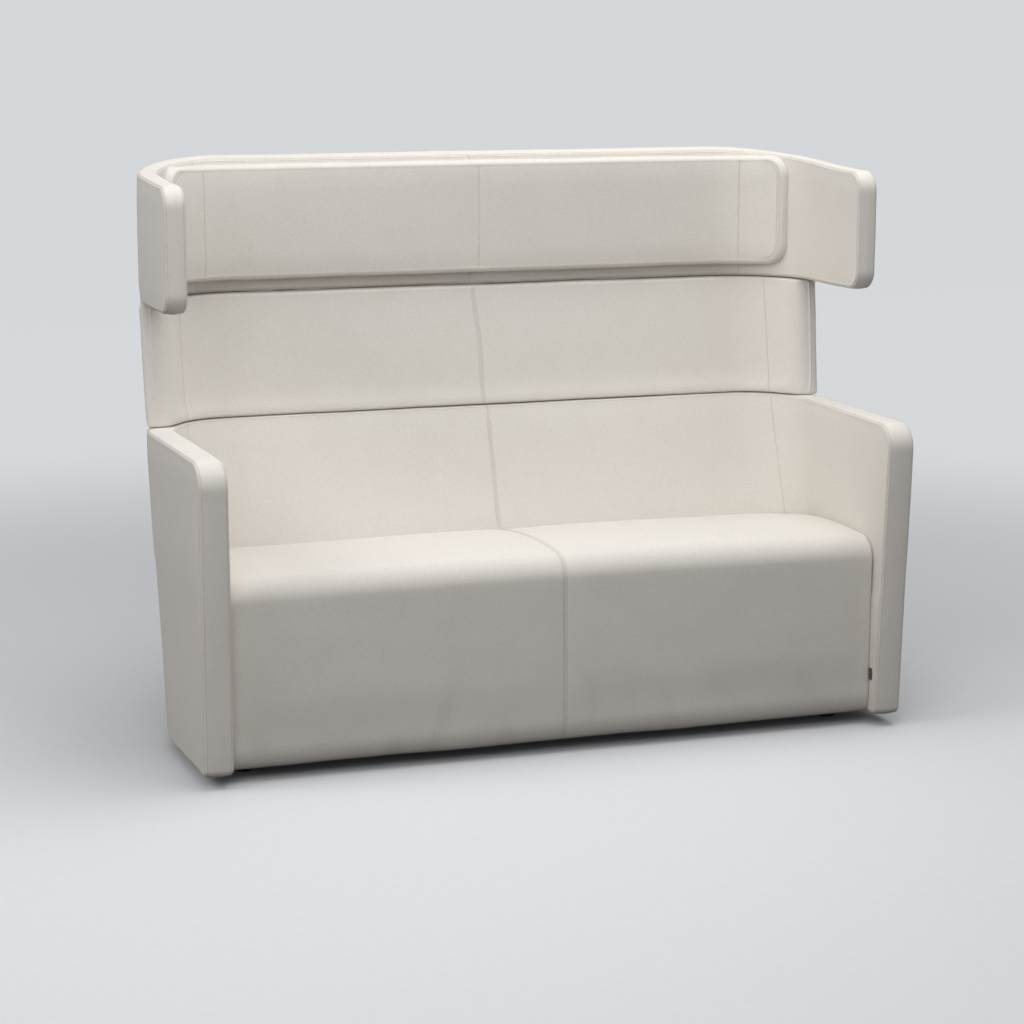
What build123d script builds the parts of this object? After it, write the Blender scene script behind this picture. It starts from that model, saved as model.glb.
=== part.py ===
"""High back settee, in millimetres.

+Z is up, the sitter faces -Y and +X is the right-hand side seen from the front.
The origin is on the floor, in the middle of the settee's width and depth.
Depths are written from the plane of the seat's front face, growing towards the back,
and every piece is moved to the origin as it is written out.
"""
from build123d import *
from math import cos, radians, sin
import os

# ---- upholstery build-up -------------------------------------------------------------
cover = 3.0                   # wool felt with its wadding
seat_gap = 0.25               # between the seat and the shell that holds it
panel_gap = 3.0               # shadow gap between shell and neck, and neck and wing
edge_round = 8.0              # rounding of the padded edges
boxing_margin = 17.0          # from an edge to the seam of the boxing strip
ply = 12.0                    # moulded plywood inside every panel
ply_foam_back = 20.0          # cover and foam behind the plywood
ply_foam_edge = 15.0          # cover and foam round the plywood's edges

# ---- floor and base ------------------------------------------------------------------
base_clearance = 28.0         # floor to the underside of the upholstery
glide_radius = 24.0
glide_foot_radius = 20.0
glide_foot_height = 16.0      # the foot widens up to here
glide_edge_round = 2.5
front_glide_depth = 112.0     # from the seat's front to the glide's axis
front_glide_spacing = 1380.0
rear_glide_spacing = 1300.0
stem_radius = 4.0
stem_sink = 14.0              # the stem's depth inside the glide
stem_rise = 40.0              # and inside the wood above it

# ---- seat ----------------------------------------------------------------------------
seat_crown_height = 445.0
seat_front_height = 438.0     # the crown carried on to the plane of the front face
seat_rear_height = 420.0      # at the inner back
seat_crown_depth = 165.0      # from the seat's front to the top of the crown
seat_rear_depth = 443.0       # from the seat's front to the inner back
seat_side_drop = 7.0          # how far the crown has fallen at the arms
seat_nose_radius = 46.0
seat_toe_radius = 20.0
seat_side_radius = 18.0

# ---- seat frame ----------------------------------------------------------------------
frame_width = 1476.0
rail_height = 270.0
rail_thickness = 25.0
front_rail_foam = 22.0        # padding in front of the front rail
corner_block = 90.0
corner_block_height = 60.0
dust_cover_thickness = 1.5
webbing_width = 60.0
webbing_thickness = 1.6
long_straps = 9               # from front to back
cross_straps = 3              # from side to side

# ---- lower shell: arms and back ------------------------------------------------------
shell_height = 697.0
arm_front = -58.0             # the arms' front at the top, ahead of the seat
arm_toe = -30.0               # the same at the bottom
arm_top_radius = 57.0
arm_toe_radius = 17.0
shell_head_half_width = 822.0
shell_head_taper = 10.0       # the arms draw in by this towards the front
shell_head_back = 603.0
shell_head_corner = 205.0
shell_foot_half_width = 812.0
shell_foot_taper = 7.0
shell_foot_back = 455.0
shell_foot_corner = 165.0
shell_head_inner_half_width = 757.0
shell_head_inner_taper = 8.0
shell_head_inner_back = 538.0
shell_head_inner_corner = 145.0
shell_foot_inner_half_width = 745.0
shell_foot_inner_taper = 2.0
shell_foot_inner_back = 309.0
shell_foot_inner_corner = 73.0

# ---- neck: the upright panel between shell and wing ----------------------------------
neck_height = 272.0
neck_half_width = 820.0
neck_wall = 61.0
neck_corner = 205.0
neck_foot_back = 608.0
neck_head_back = 655.0
neck_foot_return = 442.0      # where the side returns stop at the foot
neck_head_return = 472.0      # and at the head
neck_end_radius = 26.0

# ---- wing: the wrap-round head panel -------------------------------------------------
wing_half_width = 822.0
wing_back = 666.0
wing_corner = 242.0
wing_inner_half_width = 774.0
wing_inner_back = 613.0
wing_inner_corner = 189.0
wing_front = 175.0
wing_front_rise = 268.0       # height of the wing at its front end
wing_middle_rise = 288.0
wing_middle_depth = 520.0
wing_rear_rise = 308.0
wing_end_radius = 44.0

# ---- headrest pad --------------------------------------------------------------------
pad_thickness = 37.0
pad_board = 9.0
pad_board_margin = 14.0       # the board stops short of the pad's edges
pad_lift = 32.0               # above the wing's lower edge
pad_height = 254.0
pad_wrap = 59.0               # degrees round the wing's inner corner
pad_seam_wrap = 30.0          # degrees to the seams near the pad's ends
pad_corner_radius = 46.0
pad_edge_round = 12.0

# ---- steel uprights ------------------------------------------------------------------
upright_spacing = 900.0
upright_width = 50.0
upright_thickness = 8.0
upright_foot = 320.0          # height of the lower end
upright_head = 1190.0

# ---- seam tag ------------------------------------------------------------------------
tag_reach = 10.0              # how far it stands out in front of the seat
tag_length = 27.0
tag_thickness = 1.6
tag_foot = 107.0              # height of its lower end

# ---- levels and places that follow from the sizes above ------------------------------
neck_foot = shell_height + panel_gap
neck_head = neck_foot + neck_height
wing_foot = neck_head + panel_gap
wing_top = wing_foot + wing_rear_rise
pad_foot = wing_foot + pad_lift
pad_head = pad_foot + pad_height
frame_foot = base_clearance + dust_cover_thickness
frame_head = frame_foot + rail_height
seat_foam_foot = frame_head + 2 * webbing_thickness
front_rail_front = cover + front_rail_foam
front_rail_rear = front_rail_front + rail_thickness
frame_rear = shell_foot_back - ply_foam_back - ply
depth_middle = (arm_front + wing_back) / 2
reach = 2500.0                # longer than the settee, for cutting tools
over = 1.0                    # how far a cutting tool passes a face


class Outline:
    """One level of a panel that wraps round the back, seen from above."""

    def __init__(self, half_width, taper, back, corner):
        self.half_width = half_width
        self.taper = taper
        self.back = back
        self.corner = corner

    def inset(self, distance):
        return Outline(
            self.half_width - distance,
            self.taper,
            self.back - distance,
            self.corner - distance,
        )

    def blend(self, other, share):
        def mix(a, b):
            return a + (b - a) * share

        return Outline(
            mix(self.half_width, other.half_width),
            mix(self.taper, other.taper),
            mix(self.back, other.back),
            mix(self.corner, other.corner),
        )

    def half_width_at(self, depth):
        """The side draws in evenly from the corner to the arm's front."""
        corner_start = self.back - self.corner
        return self.half_width - self.taper * (corner_start - depth) / (corner_start - arm_front)

    def ends(self, front):
        """Right front end, right back corner, left back corner, left front end."""
        end = self.half_width_at(front)
        turn = self.half_width_at(self.back)
        return [(end, front), (turn, self.back), (-turn, self.back), (-end, front)]

    def corner_middle(self):
        return (self.half_width - self.corner, self.back - self.corner)

    def line(self, front):
        return FilletPolyline(*self.ends(front), radius=self.corner)

    def area(self, front):
        """Everything inside the outline, closed straight across at the front."""
        ends = self.ends(front)
        return make_face([self.line(front), Line(ends[3], ends[0])])


class Wall:
    """One face of a wrap-round panel, changing evenly from its foot to its head."""

    def __init__(self, foot_level, foot, head_level, head):
        self.foot_level = foot_level
        self.foot = foot
        self.head_level = head_level
        self.head = head

    def at(self, level):
        share = (level - self.foot_level) / (self.head_level - self.foot_level)
        return self.foot.blend(self.head, share)

    def filled(self, low, high, inset, front):
        """Everything inside this face between two levels."""
        faces = []
        for level in (low, high):
            faces.append(Pos(0, 0, level) * self.at(level).inset(inset).area(front))
        return risen(faces, high - low, self.upright())

    def upright(self):
        return self.foot is self.head


class Panel:
    """A U-shaped upholstered panel between an outer and an inner face."""

    def __init__(self, outer, inner, side, low, high, front):
        self.outer = outer
        self.inner = inner
        self.side = side
        self.low = low
        self.high = high
        self.front = front

    def between(self, outer, outer_inset, inner, inner_inset):
        """U-shaped solid between two faces, taller than the panel and open in front."""
        ends = []
        for level in (self.low - over, self.high + over):
            outside = outer.at(level).inset(outer_inset)
            inside = inner.at(level).inset(inner_inset)
            outside_ends = outside.ends(self.front)
            inside_ends = inside.ends(self.front)
            right = Line(outside_ends[0], inside_ends[0])
            left = Line(outside_ends[3], inside_ends[3])
            strip = [outside.line(self.front), right, inside.line(self.front), left]
            ends.append(Pos(0, 0, level) * make_face(strip))
        return risen(ends, self.high - self.low + 2 * over, outer.upright())

    def block(self, inset):
        """The panel's whole shape, drawn in on every side."""
        side = offset(self.side, -inset) if inset > 0 else self.side
        return self.between(self.outer, inset, self.inner, -inset) & across(side)

    def padded(self):
        """The panel's whole shape with its borders rounded."""
        solid = self.block(0)
        return fillet(self.border_edges(solid), edge_round)

    def board(self):
        """Moulded plywood that follows the outer face."""
        sheet = self.between(self.outer, ply_foam_back, self.outer, ply_foam_back + ply)
        return sheet & across(offset(self.side, -ply_foam_edge))

    def corner_zone(self, side, sweep):
        """One side of the panel, round to this many degrees from straight back."""
        faces = []
        for level in (self.low - 2 * over, self.high + 2 * over):
            x, y = self.inner.at(level).corner_middle()
            ray = (x + reach * sin(radians(sweep)), y + reach * cos(radians(sweep)))
            points = [(x, y), ray, (x + reach, -reach), (x, -reach)]
            face = make_face(Polyline(*[(side * px, py) for px, py in points], close=True))
            faces.append(Pos(0, 0, level) * face)
        return loft(faces, ruled=True)

    def border_edges(self, solid):
        """Every edge except those across the wall and those up the broad faces."""
        chosen = ShapeList()
        for edge in solid.edges():
            size = edge.bounding_box().size
            across_wall = size.Y < over and size.Z < over and size.X < 2 * neck_wall
            if not across_wall and size.Z < 0.85 * (self.high - self.low):
                chosen.append(edge)
        return chosen


def risen(faces, height, upright):
    """From the lower face up to the other one, straight up where they are alike."""
    if upright:
        return extrude(faces[0], height)
    return loft(faces, ruled=True)


def across(profile):
    """Extrude a depth-and-height profile across the whole width."""
    return Pos(-reach, 0, 0) * extrude(Plane.YZ * profile, 2 * reach)


def rounded(face, corners):
    """Round the named corners of a flat profile, each with its own radius."""
    for point, radius in corners:
        corner = face.vertices().sort_by_distance(Vector(*point, 0))[0]
        face = fillet(corner, radius)
    return face


def block(x_low, x_high, y_low, y_high, z_low, z_high):
    middle = Pos((x_low + x_high) / 2, (y_low + y_high) / 2, (z_low + z_high) / 2)
    return middle * Box(x_high - x_low, y_high - y_low, z_high - z_low)


def in_frame(shape):
    return Pos(0, -depth_middle, 0) * shape


def left_half(shape):
    return shape & block(-reach, 0, -reach, reach, -reach, reach)


def right_half(shape):
    return shape & block(0, reach, -reach, reach, -reach, reach)


# ---- the three wrap-round panels -----------------------------------------------------
def shell_side(floor_level, toe_radius):
    """Side view of an arm: its front leans forward as it rises."""
    lean = (arm_front - arm_toe) / (shell_height - base_clearance)
    toe = (arm_toe + lean * (floor_level - base_clearance), floor_level)
    top = (arm_front, shell_height)
    face = make_face(Polyline(toe, top, (reach, shell_height), (reach, floor_level), close=True))
    corners = [(top, arm_top_radius)]
    if toe_radius > 0:
        corners.append((toe, toe_radius))
    return rounded(face, corners)


def neck_side():
    foot = (neck_foot_return, neck_foot)
    head = (neck_head_return, neck_head)
    return make_face(Polyline(foot, head, (reach, neck_head), (reach, neck_foot), close=True))


def wing_side(floor_level, toe_radius):
    """Side view of the wing: its upper edge falls towards the front."""
    top = (wing_front, wing_foot + wing_front_rise)
    toe = (wing_front, floor_level)
    middle = (wing_middle_depth, wing_foot + wing_middle_rise)
    crest = ThreePointArc(top, middle, (wing_back, wing_top))
    tail = Line((wing_back, wing_top), (reach, wing_top))
    rest = Polyline((reach, wing_top), (reach, floor_level), toe, top)
    corners = [(top, wing_end_radius)]
    if toe_radius > 0:
        corners.append((toe, toe_radius))
    return rounded(make_face([crest, tail, rest]), corners)


shell = Panel(
    Wall(
        base_clearance,
        Outline(shell_foot_half_width, shell_foot_taper, shell_foot_back, shell_foot_corner),
        shell_height,
        Outline(shell_head_half_width, shell_head_taper, shell_head_back, shell_head_corner),
    ),
    Wall(
        base_clearance,
        Outline(
            shell_foot_inner_half_width,
            shell_foot_inner_taper,
            shell_foot_inner_back,
            shell_foot_inner_corner,
        ),
        shell_height,
        Outline(
            shell_head_inner_half_width,
            shell_head_inner_taper,
            shell_head_inner_back,
            shell_head_inner_corner,
        ),
    ),
    shell_side(base_clearance, arm_toe_radius),
    base_clearance,
    shell_height,
    arm_front - ply_foam_edge,
)
neck_outer = Wall(
    neck_foot,
    Outline(neck_half_width, 0, neck_foot_back, neck_corner),
    neck_head,
    Outline(neck_half_width, 0, neck_head_back, neck_corner),
)
neck_inner = Wall(
    neck_foot,
    neck_outer.foot.inset(neck_wall),
    neck_head,
    neck_outer.head.inset(neck_wall),
)
neck = Panel(
    neck_outer,
    neck_inner,
    neck_side(),
    neck_foot,
    neck_head,
    neck_foot_return - neck_corner,
)
wing_outline = Outline(wing_half_width, 0, wing_back, wing_corner)
wing_inner_outline = Outline(wing_inner_half_width, 0, wing_inner_back, wing_inner_corner)
wing = Panel(
    Wall(wing_foot, wing_outline, wing_top, wing_outline),
    Wall(wing_foot, wing_inner_outline, wing_top, wing_inner_outline),
    wing_side(wing_foot, wing_end_radius),
    wing_foot,
    wing_top,
    wing_front - ply_foam_edge,
)


# ---- padding and covers of a panel ---------------------------------------------------
def foam_pieces(panel, foam):
    """The padding, cut where the corners start: corners, sides and back."""
    pieces = {"back": foam}
    for name, side in (("left", -1), ("right", 1)):
        around = panel.corner_zone(side, 0)
        straight = panel.corner_zone(side, 90)
        pieces["corner_" + name] = (foam & around) - straight
        pieces["side_" + name] = foam & straight
        pieces["back"] = pieces["back"] - around
    return pieces


def inner_half(panel, skin):
    return skin & panel.outer.filled(panel.low - over, panel.high + over, ply_foam_back, panel.front)


def inner_pieces(panel, inner):
    """An inner cover cut at its seams: straight up the middle and round both corners."""
    left_arm = panel.corner_zone(-1, 45)
    right_arm = panel.corner_zone(1, 45)
    back = inner - left_arm - right_arm
    return {
        "side_left": inner & left_arm,
        "side_right": inner & right_arm,
        "back_left": left_half(back),
        "back_right": right_half(back),
    }


def upright(side):
    """Flat steel bar behind the plywood of shell, neck and wing, bent in the gaps."""
    bends = [
        (upright_foot, shell),
        (shell_height - ply_foam_edge, shell),
        (neck_foot + ply_foam_edge, neck),
        (neck_head - ply_foam_edge, neck),
        (wing_foot + ply_foam_edge, wing),
        (upright_head, wing),
    ]
    front = [(panel.outer.at(level).back - ply_foam_back, level) for level, panel in bends]
    rear = [(depth + upright_thickness, level) for depth, level in reversed(front)]
    bar = extrude(Plane.YZ * make_face(Polyline(*front, *rear, close=True)), upright_width)
    return Pos(side * upright_spacing / 2 - upright_width / 2, 0, 0) * bar


uprights = {"upright_left": upright(-1), "upright_right": upright(1)}


def without_uprights(solid):
    for bar in uprights.values():
        solid = solid - bar
    return solid


def keep_uprights_clear(names):
    """Let the bars through where a cover closes a panel above or below."""
    for name in names:
        parts[name] = without_uprights(parts[name])


# ---- seat frame ----------------------------------------------------------------------
def frame_area(width):
    """The frame's plan: straight sides, its rear corners rounded inside the plywood."""
    plan = shell.outer.foot.inset(ply_foam_back + ply).area(-reach)
    depth = frame_rear - front_rail_front
    return plan & (Pos(0, front_rail_front + depth / 2) * Rectangle(width, depth))


def frame_space():
    """Room that the seat frame and its webbing take out of the padding round it."""
    area = frame_area(frame_width) + Pos(0, front_rail_front + over) * Rectangle(frame_width, 2 * over)
    return Pos(0, 0, base_clearance - over) * extrude(area, seat_foam_foot - base_clearance + over)


def rail(x_low, x_high, y_low, y_high, height):
    board = block(x_low, x_high, y_low, y_high, frame_foot, frame_foot + height)
    return board & (Pos(0, 0, frame_foot) * extrude(frame_area(frame_width), height))


def seat_frame():
    half = frame_width / 2
    inner = half - rail_thickness
    middle = rail_thickness / 2
    rear = frame_rear - rail_thickness
    return {
        "rail_front": rail(-half, half, front_rail_front, front_rail_rear, rail_height),
        "rail_rear": rail(-inner, inner, rear, frame_rear, rail_height),
        "rail_left": rail(-half, -inner, front_rail_rear, frame_rear, rail_height),
        "rail_right": rail(inner, half, front_rail_rear, frame_rear, rail_height),
        "rail_middle": rail(-middle, middle, front_rail_rear, rear, rail_height),
    }


def corner_blocks():
    inner = frame_width / 2 - rail_thickness
    height = corner_block_height
    blocks = []
    for side in (-1, 1):
        x_low, x_high = sorted((side * inner, side * (inner - corner_block)))
        blocks.append(rail(x_low, x_high, front_rail_rear, front_rail_rear + corner_block, height))
    return blocks


def webbing():
    inner_width = frame_width - 2 * rail_thickness
    pitch = inner_width / long_straps
    rear = frame_rear
    on_frame = Pos(0, 0, frame_head) * extrude(frame_area(frame_width), webbing_width)
    long = []
    for index in range(long_straps):
        x = (index - (long_straps - 1) / 2) * pitch
        x_low = x - webbing_width / 2
        x_high = x + webbing_width / 2
        level = frame_head
        strap = block(x_low, x_high, front_rail_front, rear, level, level + webbing_thickness)
        long.append(strap & on_frame)
    cross = []
    run = rear - rail_thickness - front_rail_rear
    for index in range(cross_straps):
        y = front_rail_rear + (index + 0.5) * run / cross_straps
        y_low = y - webbing_width / 2
        y_high = y + webbing_width / 2
        level = frame_head + webbing_thickness
        strap = block(-frame_width / 2, frame_width / 2, y_low, y_high, level, level + webbing_thickness)
        cross.append(strap & on_frame)
    return Compound(long), Compound(cross)


# ---- glides --------------------------------------------------------------------------
def glide_places():
    """Two glides under the front corner blocks and two under the rear rail."""
    places = {}
    rear = frame_rear - rail_thickness / 2
    for name, side in (("left", -1), ("right", 1)):
        places["front_" + name] = (side * front_glide_spacing / 2, front_glide_depth)
        places["rear_" + name] = (side * rear_glide_spacing / 2, rear)
    return places


def stem():
    length = stem_sink + stem_rise
    return Pos(0, 0, base_clearance - stem_sink + length / 2) * Cylinder(stem_radius, length)


def glide():
    outline = [
        (0, 0),
        (glide_foot_radius, 0),
        (glide_radius, glide_foot_height),
        (glide_radius, base_clearance),
        (0, base_clearance),
    ]
    profile = rounded(make_face(Polyline(*outline, close=True)), [(outline[1], glide_edge_round)])
    return revolve(Plane.XZ * profile, Axis.Z) - stem()


def at_glides(shape):
    return [Pos(x, y, 0) * shape for x, y in glide_places().values()]


def drilled(solid):
    for pin in at_glides(stem()):
        solid = solid - pin
    return solid


# ---- seat cushion --------------------------------------------------------------------
def seat_section(x, inset):
    """Side view of the seat at one place across: toe, upright front, nose and crown."""
    fall = seat_side_drop * (x / shell_foot_half_width) ** 2 + inset
    foot = base_clearance + inset
    toe = (inset, foot)
    nose = (inset, seat_front_height - fall)
    crown = (seat_crown_depth, seat_crown_height - fall)
    rear = (seat_rear_depth, seat_rear_height - fall)
    heel = (seat_rear_depth, foot)
    face = make_face([ThreePointArc(nose, crown, rear), Polyline(rear, heel, toe, nose)])
    corners = [(nose, seat_nose_radius - inset), (toe, seat_toe_radius - inset)]
    return Pos(x, 0, 0) * (Plane.YZ * rounded(face, corners))


def seat_shape(inset):
    """The crowned seat between the arms, drawn in by the given distance."""
    half = shell_foot_half_width
    sections = [seat_section(x, inset) for x in (-half, -half / 2, 0, half / 2, half)]
    room = shell.inner.filled(base_clearance - 2 * over, shell_height, seat_gap + inset, -over)
    solid = loft(sections) & room
    return fillet(side_edges(solid), seat_side_radius - inset)


def side_edges(solid):
    """The two upper edges along the arms."""
    chosen = ShapeList()
    for edge in solid.edges():
        box = edge.bounding_box()
        beside_arm = box.size.X < 2 * seat_side_radius and abs(box.center().X) > frame_width / 3
        on_top = box.min.Z > seat_rear_height - 3 * seat_nose_radius
        if beside_arm and on_top:
            chosen.append(edge)
    return chosen


def seat_tag():
    """Folded blank tape that comes forward between the seat's rounded edge and the arm."""
    level = tag_foot + tag_length / 2
    outer = shell.inner.at(level).inset(seat_gap).half_width_at(-tag_reach)
    clear = seat_side_radius - tag_thickness - seat_gap
    root = seat_side_radius - (seat_side_radius ** 2 - clear ** 2) ** 0.5
    x_low = outer - tag_thickness
    tape = block(x_low, outer, -tag_reach, root, tag_foot, tag_foot + tag_length)
    return fillet(tape.edges().filter_by(Axis.Z).group_by(Axis.Y)[0], 0.45 * tag_thickness)


# ---- headrest pad --------------------------------------------------------------------
def pad_wedge(sweep, low, high):
    """Everything in front of the wing's back and round both corners by this angle."""
    x, y = wing_inner_outline.corner_middle()
    ray_x = reach * sin(radians(sweep))
    ray_y = reach * cos(radians(sweep))
    points = [(x, y), (x + ray_x, y + ray_y), (-x - ray_x, y + ray_y), (-x, y)]
    area = make_face(Polyline(*points, close=True))
    return Pos(0, 0, low) * extrude(area, high - low)


def pad_layer(near, far, margin):
    """A layer of the pad between two distances from the wing's inner face."""
    turn = margin / wing_inner_corner * 180 / 3.14159
    strip = wing.between(wing.inner, near, wing.inner, far)
    layer = strip & pad_wedge(pad_wrap - turn, pad_foot + margin, pad_head - margin)
    ends = ShapeList()
    for edge in layer.edges():
        size = edge.bounding_box().size
        short = size.Z < over and edge.length < 2 * (far - near)
        if short and abs(edge.center().X) > wing_inner_outline.corner_middle()[0]:
            ends.append(edge)
    return fillet(ends, pad_corner_radius - margin)


def pad_front_edges(solid, thickness):
    """The pad's border where it meets the front face."""
    front = wing_inner_outline.inset(thickness)
    x, y = front.corner_middle()
    chosen = ShapeList()
    for edge in solid.edges():
        place = edge @ 0.5
        beyond = max(abs(place.X) - x, 0)
        distance = ((place.Y - y) ** 2 + beyond ** 2) ** 0.5
        upright = edge.bounding_box().size.Z > 0.5 * pad_height and abs(place.X) < x + over
        if abs(distance - front.corner) < over and not upright:
            chosen.append(edge)
    return chosen


def pad_shape(inset):
    thickness = pad_thickness - inset
    solid = pad_layer(0, thickness, inset)
    return fillet(pad_front_edges(solid, thickness), pad_edge_round - inset)


# ---- writing out ---------------------------------------------------------------------
parts = {}


def above(level):
    return block(-reach, reach, -reach, reach, level, reach)


def shell_parts():
    """Bent plywood, padding and cover of arms and back, in one piece round the seat."""
    space = frame_space()
    board = shell.board() - space
    padding = shell.block(cover)
    parts["shell_ply"] = board
    for name, piece in foam_pieces(shell, without_uprights(padding - space - board)).items():
        parts["shell_foam_" + name] = piece
    skin = shell.padded() - padding - space
    inside_seams = across(offset(shell_side(-shell_height, 0), -boxing_margin))
    panels = skin & inside_seams
    inner = inner_half(shell, panels) & above(base_clearance + edge_round)
    parts["shell_cover_boxing"] = skin - inside_seams
    parts["shell_cover_outer"] = panels - inner
    for name, piece in inner_pieces(shell, inner).items():
        parts["shell_cover_inner_" + name] = piece


def neck_shape(inset):
    """The neck panel with its free ends rounded."""
    solid = neck.block(inset)
    ends = ShapeList()
    for edge in solid.edges():
        box = edge.bounding_box()
        if box.size.Z > 0.85 * neck_height and box.max.Y < neck_head_return + inset + over:
            ends.append(edge)
    return fillet(ends, neck_end_radius - inset)


def neck_parts():
    board = neck.board()
    padding = neck_shape(cover)
    whole = neck_shape(0)
    borders = ShapeList([e for e in whole.edges() if e.bounding_box().size.Z < over])
    skin = fillet(borders, edge_round) - padding
    parts["neck_ply"] = board
    for name, piece in foam_pieces(neck, without_uprights(padding - board)).items():
        if not name.startswith("side"):
            parts["neck_foam_" + name] = piece
    inner = inner_half(neck, skin)
    parts["neck_cover_outer"] = skin - inner
    for name, piece in inner_pieces(neck, inner).items():
        parts["neck_cover_inner_" + name] = piece


def wing_parts():
    board = wing.board()
    padding = wing.block(cover)
    skin = wing.padded() - padding
    parts["wing_ply"] = board
    for name, piece in foam_pieces(wing, without_uprights(padding - board)).items():
        parts["wing_foam_" + name] = piece
    inside_seams = across(offset(wing.side, -boxing_margin))
    panels = skin & inside_seams
    inner = inner_half(wing, panels)
    parts["wing_cover_boxing"] = skin - inside_seams
    parts["wing_cover_outer"] = panels - inner
    parts["wing_cover_inner_left"] = left_half(inner)
    parts["wing_cover_inner_right"] = right_half(inner)


def pad_parts():
    outside = pad_shape(0)
    board = pad_layer(0, pad_board, pad_board_margin)
    inside = pad_shape(cover)
    skin = outside - inside
    middle = pad_wedge(pad_seam_wrap, pad_foot - over, pad_head + over)
    ends = skin - middle
    parts["pad_board"] = board
    parts["pad_foam"] = inside - board
    parts["pad_cover_middle"] = skin & middle
    parts["pad_cover_left"] = left_half(ends)
    parts["pad_cover_right"] = right_half(ends)


def seat_parts():
    padding = seat_shape(cover)
    deck = block(-reach, reach, front_rail_front, reach, -reach, seat_foam_foot)
    behind_rail = block(-reach, reach, front_rail_rear, reach, -reach, seat_foam_foot)
    skin = seat_shape(0) - padding - behind_rail - frame_space()
    parts["seat_foam"] = padding - deck
    parts["seat_cover_left"] = left_half(skin)
    parts["seat_cover_right"] = right_half(skin)
    parts["seam_tag"] = seat_tag()


def frame_parts():
    for name, piece in seat_frame().items():
        parts[name] = drilled(piece)
    parts["corner_blocks"] = Compound([drilled(piece) for piece in corner_blocks()])
    long, cross = webbing()
    parts["webbing_long"] = long
    parts["webbing_cross"] = cross
    sheet = extrude(frame_area(frame_width), dust_cover_thickness)
    parts["dust_cover"] = drilled(Pos(0, 0, base_clearance) * sheet)
    for name, (x, y) in glide_places().items():
        parts["glide_" + name] = Pos(x, y, 0) * glide()
        parts["glide_stem_" + name] = Pos(x, y, 0) * stem()


frame_parts()
seat_parts()
pad_parts()
wing_parts()
neck_parts()
shell_parts()
parts.update(uprights)
keep_uprights_clear(
    [
        "shell_cover_boxing",
        "shell_cover_outer",
        "neck_cover_outer",
        "neck_cover_inner_back_left",
        "neck_cover_inner_back_right",
        "wing_cover_boxing",
        "wing_cover_outer",
    ]
)

os.makedirs("parts", exist_ok=True)
for name, piece in parts.items():
    export_step(in_frame(piece), "parts/" + name + ".step")
    print(name, round(piece.volume / 1000, 1), "cm3", len(piece.solids()), "solid(s)")
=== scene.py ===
"""High back settee: upholstery, stitching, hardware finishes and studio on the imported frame."""

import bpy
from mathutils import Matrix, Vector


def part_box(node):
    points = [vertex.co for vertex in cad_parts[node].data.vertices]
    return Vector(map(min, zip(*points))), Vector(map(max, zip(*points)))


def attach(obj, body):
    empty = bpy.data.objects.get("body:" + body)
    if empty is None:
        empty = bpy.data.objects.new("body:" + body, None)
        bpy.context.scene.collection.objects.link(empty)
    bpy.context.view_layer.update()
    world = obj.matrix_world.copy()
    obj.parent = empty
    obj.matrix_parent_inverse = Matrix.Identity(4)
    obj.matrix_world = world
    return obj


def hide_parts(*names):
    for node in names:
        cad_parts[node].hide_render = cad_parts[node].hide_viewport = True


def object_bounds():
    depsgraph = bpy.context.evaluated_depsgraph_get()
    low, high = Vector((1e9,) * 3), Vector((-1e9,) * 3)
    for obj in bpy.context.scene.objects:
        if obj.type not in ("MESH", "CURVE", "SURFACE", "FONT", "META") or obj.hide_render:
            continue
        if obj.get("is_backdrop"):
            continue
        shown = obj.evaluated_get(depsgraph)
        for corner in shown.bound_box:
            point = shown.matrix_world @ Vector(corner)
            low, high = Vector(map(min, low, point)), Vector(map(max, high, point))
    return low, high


bl_info = {
    "name": "High Back Settee",
    "version": (1, 0, 0),
    "blender": (4, 5, 0),
    "location": "View3D > Sidebar > Settee",
    "description": "Upholsters the packed settee frame and lights it",
    "category": "Object",
}

from math import asin, cos, exp, pi, radians, sin

import bmesh
import bpy
from bpy.props import FloatProperty, FloatVectorProperty, PointerProperty
from mathutils import Matrix, Vector, noise
from mathutils.bvhtree import BVHTree

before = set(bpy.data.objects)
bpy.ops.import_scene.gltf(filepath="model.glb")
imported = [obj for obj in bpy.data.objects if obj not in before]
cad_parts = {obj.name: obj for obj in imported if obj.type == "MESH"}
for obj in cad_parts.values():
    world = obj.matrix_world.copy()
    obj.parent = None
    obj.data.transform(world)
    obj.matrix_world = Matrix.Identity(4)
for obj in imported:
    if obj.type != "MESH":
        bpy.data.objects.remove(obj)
CAD_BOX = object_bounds()

MM = 0.001
DEPTH_MIDDLE = 304.0          # depths are written from the seat's front plane
ARM_FRONT = -58.0
BASE = 28.0                   # floor to the underside of the upholstery
SEAT_FRAME_TOP = 302.7
SEAT_FRAME_REAR = 423.0
SEAT_RISE = 430.0             # about where the seat meets the back


def smooth(value, low, high):
    """0 below low, 1 above high and an even ease between them."""
    share = min(max((value - low) / (high - low), 0.0), 1.0)
    return share * share * (3 - 2 * share)


def in_frame(x, y, z):
    """A point in the model's frame, from millimetres across, deep and high."""
    return Vector((x * MM, (y - DEPTH_MIDDLE) * MM, z * MM))


# ---- sizes and colours ---------------------------------------------------------------
def length(name, description, default):
    return FloatProperty(name=name, description=description, default=default, unit="LENGTH")


def shade(name, description, default):
    return FloatVectorProperty(
        name=name, description=description, default=default, size=4, subtype="COLOR", min=0, max=1
    )


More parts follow.
